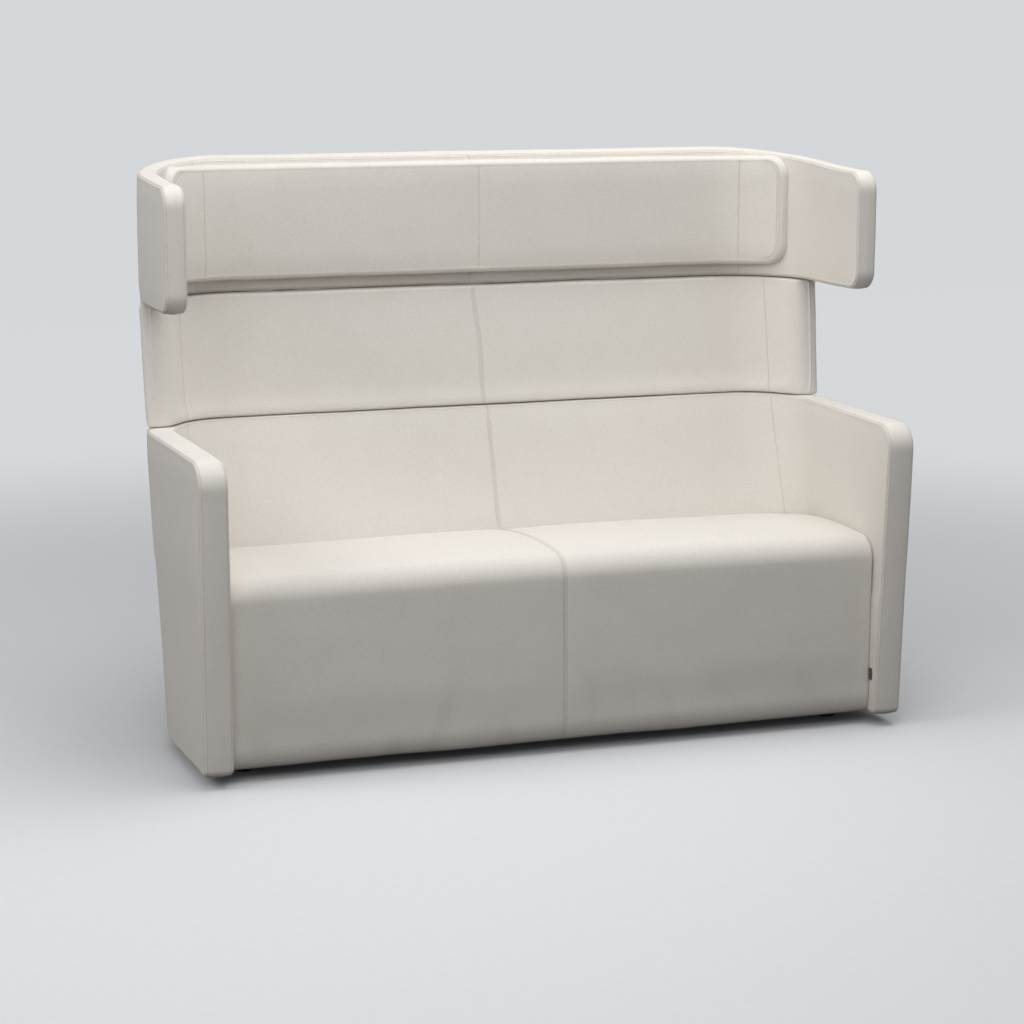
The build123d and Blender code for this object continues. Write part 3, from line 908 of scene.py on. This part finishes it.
# ---- topstitching --------------------------------------------------------------------
STITCH_PROUD = 0.12           # how far a stitch's middle stands off the felt, in threads
STITCH_END = 0.28             # where its ends start to go down, as a share of its length


def walk(path, pitch):
    """Even steps along a line of points, each with the direction it runs in."""
    gone = 0.0
    target = pitch / 2
    for here, there in zip(path, path[1:]):
        step = (there - here).length
        while step > 0 and target <= gone + step:
            yield here.lerp(there, (target - gone) / step), (there - here) / step
            target += pitch
        gone += step


def sew(name, piece_mesh, paths, material):
    """Stitches along the paths, lying in the felt of a mesh."""
    size = sizes()
    felt = BVHTree.FromBMesh(piece_mesh)
    stitch = bmesh.new()
    bmesh.ops.create_uvsphere(stitch, u_segments=6, v_segments=4, radius=0.5)
    single = bpy.data.meshes.new(name)
    stitch.to_mesh(single)
    stitch.free()
    whole = bmesh.new()
    places = []
    shape = Matrix.Diagonal((size.stitch_length, size.thread, size.thread, 1.0))
    for path in paths:
        for point, ahead in walk(path, size.stitch_pitch):
            spot, normal, _, _ = felt.find_nearest(point)
            along = (ahead - normal * ahead.dot(normal)).normalized()
            turn = Matrix((along, normal.cross(along), normal)).transposed().to_4x4()
            lie = Matrix.Translation(spot + normal * size.thread * STITCH_PROUD) @ turn
            places.append(lie @ shape)
            whole.from_mesh(single)
    count = len(single.vertices)
    painted_hole_shade = whole.verts.layers.float.new("painted_hole_shade")
    for index, vertex in enumerate(whole.verts):
        # mark the stitch ends that get the painted needle-hole shade
        vertex[painted_hole_shade] = float(abs(vertex.co.x) > STITCH_END)
        vertex.co = places[index // count] @ vertex.co
    bpy.data.meshes.remove(single)
    finished(name, whole, material, ())


def border_paths(panel, faces, kinds):
    """Both rows of stitches beside the seams round a panel's border."""
    columns, _ = border_columns(panel, stations(panel, PATH_PITCH))
    row = sizes().row_gap / MM / 2
    paths = []
    for face in faces:
        for past in (-row, row):
            spots = [panel.place(each, (face, past)) for each in columns if each[0] in kinds]
            for side in (-1, 1):
                paths.append(
                    [in_frame(side * at.x + shift, at.y, at.z) for at, _, _, shift in spots]
                )
    return paths


def middle_paths(panel, low, high):
    """Both rows of stitches beside the upright middle seam of the inner face."""
    rows = [], []
    for step in range(41):
        level = panel.level(panel.deepest, low + (high - low) * step / 40, 0)
        plan = panel.inner(level)
        from_end = panel.marks(plan, level)[5] - sizes().row_gap / MM / 2
        point = plan.point(panel.front(level), panel.turn, from_end)
        shift = panel.middle_shift(level) * fading(point.x)
        for row, side in zip(rows, (-1, 1)):
            row.append(in_frame(side * point.x + shift, point.y, level))
    return list(rows)


# ---- operators -----------------------------------------------------------------------
FINISHES = {}


def finish(name, make, *details):
    """The named material, made the first time it is asked for."""
    if name not in FINISHES:
        FINISHES[name] = make(*details)
    return FINISHES[name]


def felt():
    return finish("felt", felt_finish, "wool_felt", False)


def thread():
    return finish("thread", thread_finish)


def upholster(panel, name, seed, replaced, paths):
    mesh = panel_mesh(panel, seed)
    sew(name + "_topstitching", mesh, paths, thread())
    piece = finished(name, mesh, felt(), replaced)


class SETTEE_OT_shell(bpy.types.Operator):
    """Upholster arms and back in felt with a boxing strip"""

    bl_idname = "settee.shell"
    bl_label = "Arms and Back"

    def execute(self, context):
        panel = Shell()
        kinds = ("head", "head_corner", "front", "foot_corner")
        paths = border_paths(panel, (OUTER, INNER), kinds)
        paths += middle_paths(panel, 0.60, 0.965)
        upholster(panel, "shell_upholstery", 3.1, nodes_named("shell_cover", "shell_foam"), paths)
        return {"FINISHED"}


class SETTEE_OT_neck(bpy.types.Operator):
    """Upholster the upright panel between shell and wing"""

    bl_idname = "settee.neck"
    bl_label = "Neck"

    def execute(self, context):
        panel = Neck()
        paths = middle_paths(panel, 0.03, 0.97)
        upholster(panel, "neck_upholstery", 7.7, nodes_named("neck_cover", "neck_foam"), paths)
        return {"FINISHED"}


class SETTEE_OT_wing(bpy.types.Operator):
    """Upholster the wrap-round wing with its boxing strip"""

    bl_idname = "settee.wing"
    bl_label = "Wing"

    def execute(self, context):
        panel = Wing()
        kinds = ("head", "head_corner", "front", "foot_corner", "foot")
        paths = border_paths(panel, (OUTER, INNER), kinds)
        upholster(panel, "wing_upholstery", 1.9, nodes_named("wing_cover", "wing_foam"), paths)
        return {"FINISHED"}


class SETTEE_OT_pad(bpy.types.Operator):
    """Make the headrest pad with its end seams and topstitched border"""

    bl_idname = "settee.pad"
    bl_label = "Headrest Pad"

    def execute(self, context):
        panel = Pad()
        kinds = ("head_corner", "front", "foot_corner")
        paths = border_paths(panel, (INNER,), kinds)
        upholster(panel, "headrest_pad", 5.3, nodes_named("pad_cover", "pad_foam"), paths)
        return {"FINISHED"}


# ---- seat ----------------------------------------------------------------------------
SEAT_REAR = 443.0
SEAT_HEIGHTS = ((0.0, 438.0), (165.0, 445.0), (SEAT_REAR, 420.0))
SEAT_FALL = 7.0               # of the crown towards the arms, and at the rear edge
SEAT_HALF = 740.0
SEAT_SIDE, SEAT_SIDE_DEPTH, SEAT_GAP = 13.0, 19.0, 2.0
NOSE = 46.0
TOE, TOE_HEIGHT = 22.0, 52.0
APRON = 24.0                  # thickness of the front where it hangs before the frame
FELTED = ("crown", "nose", "front", "toe")


def seat_top(depth, across):
    """Height of the crown: level at the front, highest a hand's breadth in."""
    return curve(depth, SEAT_HEIGHTS) - SEAT_FALL * (across / 812.0) ** 2


def seat_profile():
    """Columns round the side view: crown, nose, front, toe, underside and heel."""
    columns = [("crown", depth) for depth in (443, 440, 436, 430, 420, 405)]
    columns += [("crown", 390 - 15 * step) for step in range(23)]
    columns += [("nose", pi / 2 * step / 12) for step in range(13)]
    columns += [("front", 1 - step / 22) for step in range(23)]
    columns += [("toe", pi / 2 * step / 9) for step in range(10)]
    columns += [("under", share) for share in (0.4, 1.0)]
    columns += [("step", share) for share in (0.33, 0.66, 1.0)]
    columns += [("deck", share) for share in (0.25, 0.5, 0.75, 1.0)]
    columns += [("heel", share) for share in (0.2, 0.4, 0.6, 0.8, 0.93, 1.0)]
    return columns


def seat_spot(column, across, inset):
    """Depth and height of a column, drawn in from the outline."""
    kind, value = column
    foot = BASE + inset
    if kind == "crown":
        roll = SEAT_FALL * (1 - smooth(SEAT_REAR - value, -4, 16))
        return min(value, SEAT_REAR - inset), seat_top(value, across) - inset - roll
    if kind == "nose":
        radius = NOSE - inset
        depth = NOSE - radius * sin(value)
        return depth, seat_top(depth, across) - NOSE + radius * cos(value)
    top = seat_top(0, across) - NOSE
    toe = BASE + TOE_HEIGHT
    behind = APRON - min(inset, APRON - 0.1 - inset)
    run = (behind - inset) * TOE / APRON
    if kind == "front":
        return inset, toe + value * (top - toe)
    if kind == "toe":
        return inset + run * (1 - cos(value)), toe - (TOE_HEIGHT - inset) * sin(value)
    if kind == "under":
        return inset + run + value * (behind - inset - run), foot
    deck = SEAT_FRAME_TOP + inset
    if kind == "step":
        return behind, foot + value * (deck - foot)
    if kind == "deck":
        return behind + value * (SEAT_REAR - inset - behind), deck
    rear = seat_top(SEAT_REAR, across) - inset - SEAT_FALL
    return SEAT_REAR - inset, deck + value * (rear - deck)


def seat_rows():
    """Rows across: in from the side, over its rounding and to the middle seam."""
    rows = [("side", SEAT_SIDE_DEPTH + 1.5)]
    rows += [("round", pi / 2 * step / 7) for step in range(8)]
    shares = spaced(SEAT_HALF - SEAT_SIDE, 15.0, False, True)
    return rows + [("top", share) for share in shares[1:]]


def seat_shift(height):
    """How far to the right the middle seam has wandered."""
    return 4.0 + 1.5 * smooth(-height, -400, -60)


def seat_point(column, row):
    """The seat's surface in millimetres."""
    kind, turned = column
    part, value = row
    inset = in_from_side = 0.0
    if part == "side":
        inset = value
    elif part == "round":
        inset = SEAT_SIDE_DEPTH * (1 - sin(value))
        in_from_side = SEAT_SIDE * (1 - cos(value))
    depth, height = seat_spot(column, SEAT_HALF, inset)
    plan = Shell().inner(max(height, SEAT_FRAME_TOP + 20))
    half = plan.half_width - SEAT_GAP
    lift = min((depth - plan.back + plan.corner) / plan.corner, 1.0)
    if lift > 0:
        half -= plan.corner * (1 - (1 - lift * lift) ** 0.5)
    across = (half - SEAT_SIDE) * (1 - value) if part == "top" else half - in_from_side
    depth, height = seat_spot(column, across, inset)
    if kind not in FELTED:
        return Vector((across, depth, height))
    swell = sizes().seat_crown / MM * (1 - exp(-across / 40)) * smooth(half - across, 0, 90)
    if kind == "crown":
        swell *= smooth(SEAT_REAR - depth, 0, 60)
    elif kind != "nose":
        swell *= 0.3 + 0.7 * smooth(height, BASE + TOE_HEIGHT, BASE + 3 * TOE_HEIGHT)
    out = swell - seam_dip(across, True)
    if kind == "crown":
        height += out
    elif kind == "nose":
        height += out * cos(turned)
        depth -= out * sin(turned)
    else:
        depth -= out * (cos(turned) if kind == "toe" else 1.0)
    return Vector((across, depth, height))


class SETTEE_OT_seat(bpy.types.Operator):
    """Make the crowned seat, its halves joined by a topstitched middle seam"""

    bl_idname = "settee.seat"
    bl_label = "Seat"

    def execute(self, context):
        mesh = bmesh.new()
        marks = new_marks(mesh)
        columns = seat_profile()
        columns.append(columns[0])

        def fit(vertex, column, row):
            place = seat_point(column, row)
            shift = seat_shift(place.z) * fading(place.x)
            set_point(vertex, (place, place.x, True, shift), marks)

        lay_patch(mesh, columns, seat_rows(), fit)
        mirrored(mesh)
        bmesh.ops.holes_fill(mesh, edges=mesh.edges[:], sides=0)
        loosened(mesh, marks, sizes().ripple * 1.2, 9.4)
        row = sizes().row_gap / MM / 2
        spots = [seat_spot(each, 0.0, 0.0) for each in columns[2:] if each[0] in FELTED]
        paths = [
            [in_frame(side * row + seat_shift(height), depth, height) for depth, height in spots]
            for side in (-1, 1)
        ]
        sew("seat_topstitching", mesh, paths, thread())
        material = finish("seat_felt", felt_finish, "seat_felt", True)
        piece = finished("seat_cushion", mesh, material, nodes_named("seat_cover", "seat_foam"))
        return {"FINISHED"}


TAG_BEND, TAG_BELLY = 0.0012, 0.0006  # metres


class SETTEE_OT_tag(bpy.types.Operator):
    """Fold a blank loop of woven tape out of the seat's side seam"""

    bl_idname = "settee.tag"
    bl_label = "Seam Tag"

    def execute(self, context):
        low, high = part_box("seam_tag")
        mesh = bmesh.new()
        around = [("leg", 1 - step / 5, 1) for step in range(5)]
        around += [("fold", pi * step / 8 - pi / 2, 0) for step in range(9)]
        around += [("leg", step / 5, -1) for step in range(1, 6)]
        heights = [step / 10 for step in range(11)]
        middle = (low.x + high.x) / 2
        thickness = (high.x - low.x) * 0.36
        half = (high.x - low.x) / 2 - thickness / 2

        def fit(vertex, place, share):
            kind, value, side = place
            belly = TAG_BELLY * sin(pi * share)
            if kind == "leg":
                run = high.y - (high.y - low.y - TAG_BEND) * (1 - value)
                across = middle + side * half
            else:
                run = low.y + TAG_BEND - TAG_BEND * cos(value)
                across = middle - half * sin(value)
            vertex.co = Vector((across, run - belly, low.z + share * (high.z - low.z)))

        lay_patch(mesh, around, heights, fit)
        bmesh.ops.recalc_face_normals(mesh, faces=mesh.faces)
        bmesh.ops.solidify(mesh, geom=mesh.faces[:], thickness=thickness)
        bmesh.ops.recalc_face_normals(mesh, faces=mesh.faces)
        finished("seam_tag_tape", mesh, finish("tape", tape_finish), ("seam_tag",))
        return {"FINISHED"}


# ---- frame and glides ----------------------------------------------------------------
TIMBER = ("rail", "corner_blocks")
BOARDS = ("pad_board", "shell_ply", "neck_ply", "wing_ply")


class SETTEE_OT_hardware(bpy.types.Operator):
    """Finish the frame, webbing, lining, uprights and glides"""

    bl_idname = "settee.hardware"
    bl_label = "Frame and Glides"

    def execute(self, context):
        tone = colours()
        coats = {
            "glide_stem": finish("zinc", zinc_finish),
            "glide": finish("plastic", plastic_finish),
            "upright": finish("steel", painted_steel_finish),
            "webbing": finish("webbing", woven_finish, "webbing", tone.webbing, 90.0, 0.2),
            "dust_cover": finish("lining", woven_finish, "lining", tone.lining, 320.0, 0.1),
            TIMBER: finish("pine", wood_finish, "timber", tone.pine, (2.5, 30, 30), 0),
            BOARDS: finish("birch", wood_finish, "plywood", tone.birch, (3, 40, 40), 260.0),
        }
        for name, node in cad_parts.items():
            for starts, material in coats.items():
                if name.startswith(starts):
                    node.data.materials.clear()
                    node.data.materials.append(material)
                    break
        return {"FINISHED"}


# ---- studio --------------------------------------------------------------------------
SEEN_BY = ("Is Camera Ray", "Is Glossy Ray", "Is Transmission Ray")
SWEEP = 21.6                  # metres of paper to each side and in front
WALL, WALL_BEND, WALL_TOP = 7.2, 3.84, 16.8
LAMPS = (                     # name, place, what it points at, width and height, power
    ("overhead", (0.5, -0.4, 3.3), (0.0, 0.05, 0.6), (3.4, 2.4), 64.0),
    ("side_fill", (-3.6, -0.4, 2.7), (-0.8, 0.0, 1.0), (2.0, 1.6), 46.0),
    ("front_fill", (-1.7, -3.4, 2.8), (0.0, 0.0, 1.2), (2.2, 1.8), 38.0),
)


def softbox(name, place, target, size, power):
    light = bpy.data.lights.new(name, "AREA")
    light.shape = "RECTANGLE"
    light.size, light.size_y = size
    light.energy = power
    lamp = bpy.data.objects.new(name, light)
    lamp.location = place
    lamp.rotation_euler = (Vector(target) - Vector(place)).to_track_quat("-Z", "Y").to_euler()
    bpy.context.scene.collection.objects.link(lamp)


class SETTEE_OT_studio(bpy.types.Operator):
    """Lay the pale floor, and set the lamps and the camera"""

    bl_idname = "settee.studio"
    bl_label = "Studio"

    def execute(self, context):
        scene = context.scene
        mesh = bmesh.new()
        sweep = [(-SWEEP, 0.0), (WALL, 0.0)]
        for step in range(1, 11):
            bend = radians(9 * step)
            sweep.append((WALL + WALL_BEND * sin(bend), WALL_BEND - WALL_BEND * cos(bend)))
        sweep.append((WALL + WALL_BEND, WALL_TOP))

        def fit(vertex, across, depth_height):
            vertex.co = Vector((across, *depth_height))

        lay_patch(mesh, (-SWEEP, 0.0, SWEEP), sweep, fit)
        bmesh.ops.recalc_face_normals(mesh, faces=mesh.faces)
        data = bpy.data.meshes.new("studio_floor")
        mesh.to_mesh(data)
        mesh.free()
        data.shade_smooth()
        floor = bpy.data.objects.new("studio_floor", data)
        scene.collection.objects.link(floor)
        paper = Finish("studio_paper", 0.9, Specular_IOR_Level=0.1)
        speck = paper.noise(40.0, 2.0)
        rays = [paper.node("ShaderNodeLightPath", {}, {}, ray) for ray in SEEN_BY]
        seen = rays[0] + rays[1] + rays[2]
        away = paper.node("ShaderNodeVectorMath", {"operation": "LENGTH"}, [paper.place], "Value")
        far = away.above(1.3, 4.2) * seen
        black = (0, 0, 0, 1)
        pale = paper.mixed(speck * 0.05, colours().floor, black)
        near = paper.mixed(seen, colours().floor_bounce, pale)
        paper.wear("Base Color", paper.mixed(far, near, black))
        paper.wear("Emission Color", paper.mixed(far, black, colours().backdrop))
        paper.shader.inputs["Emission Strength"].default_value = 1.0
        data.materials.append(paper.material)
        floor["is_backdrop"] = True

        world = bpy.data.worlds.new("studio")
        world.use_nodes = True
        sky = world.node_tree.nodes["Background"].inputs
        sky["Color"].default_value = (0.97, 0.98, 1.0, 1)
        sky["Strength"].default_value = 0.41
        scene.world = world
        for lamp in LAMPS:
            softbox(*lamp)

        lens = bpy.data.cameras.new("photograph")
        lens.lens = 93.0
        lens.sensor_width = 36.0
        camera = bpy.data.objects.new("photograph", lens)
        camera.location = (-1.947, -5.560, 1.595)
        camera.rotation_euler = (radians(90 - 10.66), 0.0, radians(-19.18))
        scene.collection.objects.link(camera)
        scene.camera = camera
        scene.view_settings.view_transform = "Standard"
        return {"FINISHED"}


OPERATORS = (
    SETTEE_OT_shell,
    SETTEE_OT_neck,
    SETTEE_OT_wing,
    SETTEE_OT_pad,
    SETTEE_OT_seat,
    SETTEE_OT_tag,
    SETTEE_OT_hardware,
    SETTEE_OT_studio,
)


class SETTEE_PT_panel(bpy.types.Panel):
    """The settee's pieces, sizes and colours"""

    bl_idname = "SETTEE_PT_panel"
    bl_label = "High Back Settee"
    bl_space_type = "VIEW_3D"
    bl_region_type = "UI"
    bl_category = "Settee"

    def draw(self, context):
        for group in (context.scene.settee_sizes, context.scene.settee_colours):
            box = self.layout.box()
            for name in group.__annotations__:
                box.prop(group, name)
        for operator in OPERATORS:
            self.layout.operator(operator.bl_idname)


CLASSES = (SetteeSizes, SetteeColours, *OPERATORS, SETTEE_PT_panel)


def register():
    for each in CLASSES:
        bpy.utils.register_class(each)
    bpy.types.Scene.settee_sizes = PointerProperty(type=SetteeSizes)
    bpy.types.Scene.settee_colours = PointerProperty(type=SetteeColours)


def unregister():
    del bpy.types.Scene.settee_colours
    del bpy.types.Scene.settee_sizes
    for each in reversed(CLASSES):
        bpy.utils.unregister_class(each)


def main():
    register()
    for operator in OPERATORS:
        group, name = operator.bl_idname.split(".")
        getattr(getattr(bpy.ops, group), name)()
    boxes = {"cad": CAD_BOX, "visual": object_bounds()}
    {name: [list(corner) for corner in box] for name, box in boxes.items()}


if __name__ == "__main__":
    main()
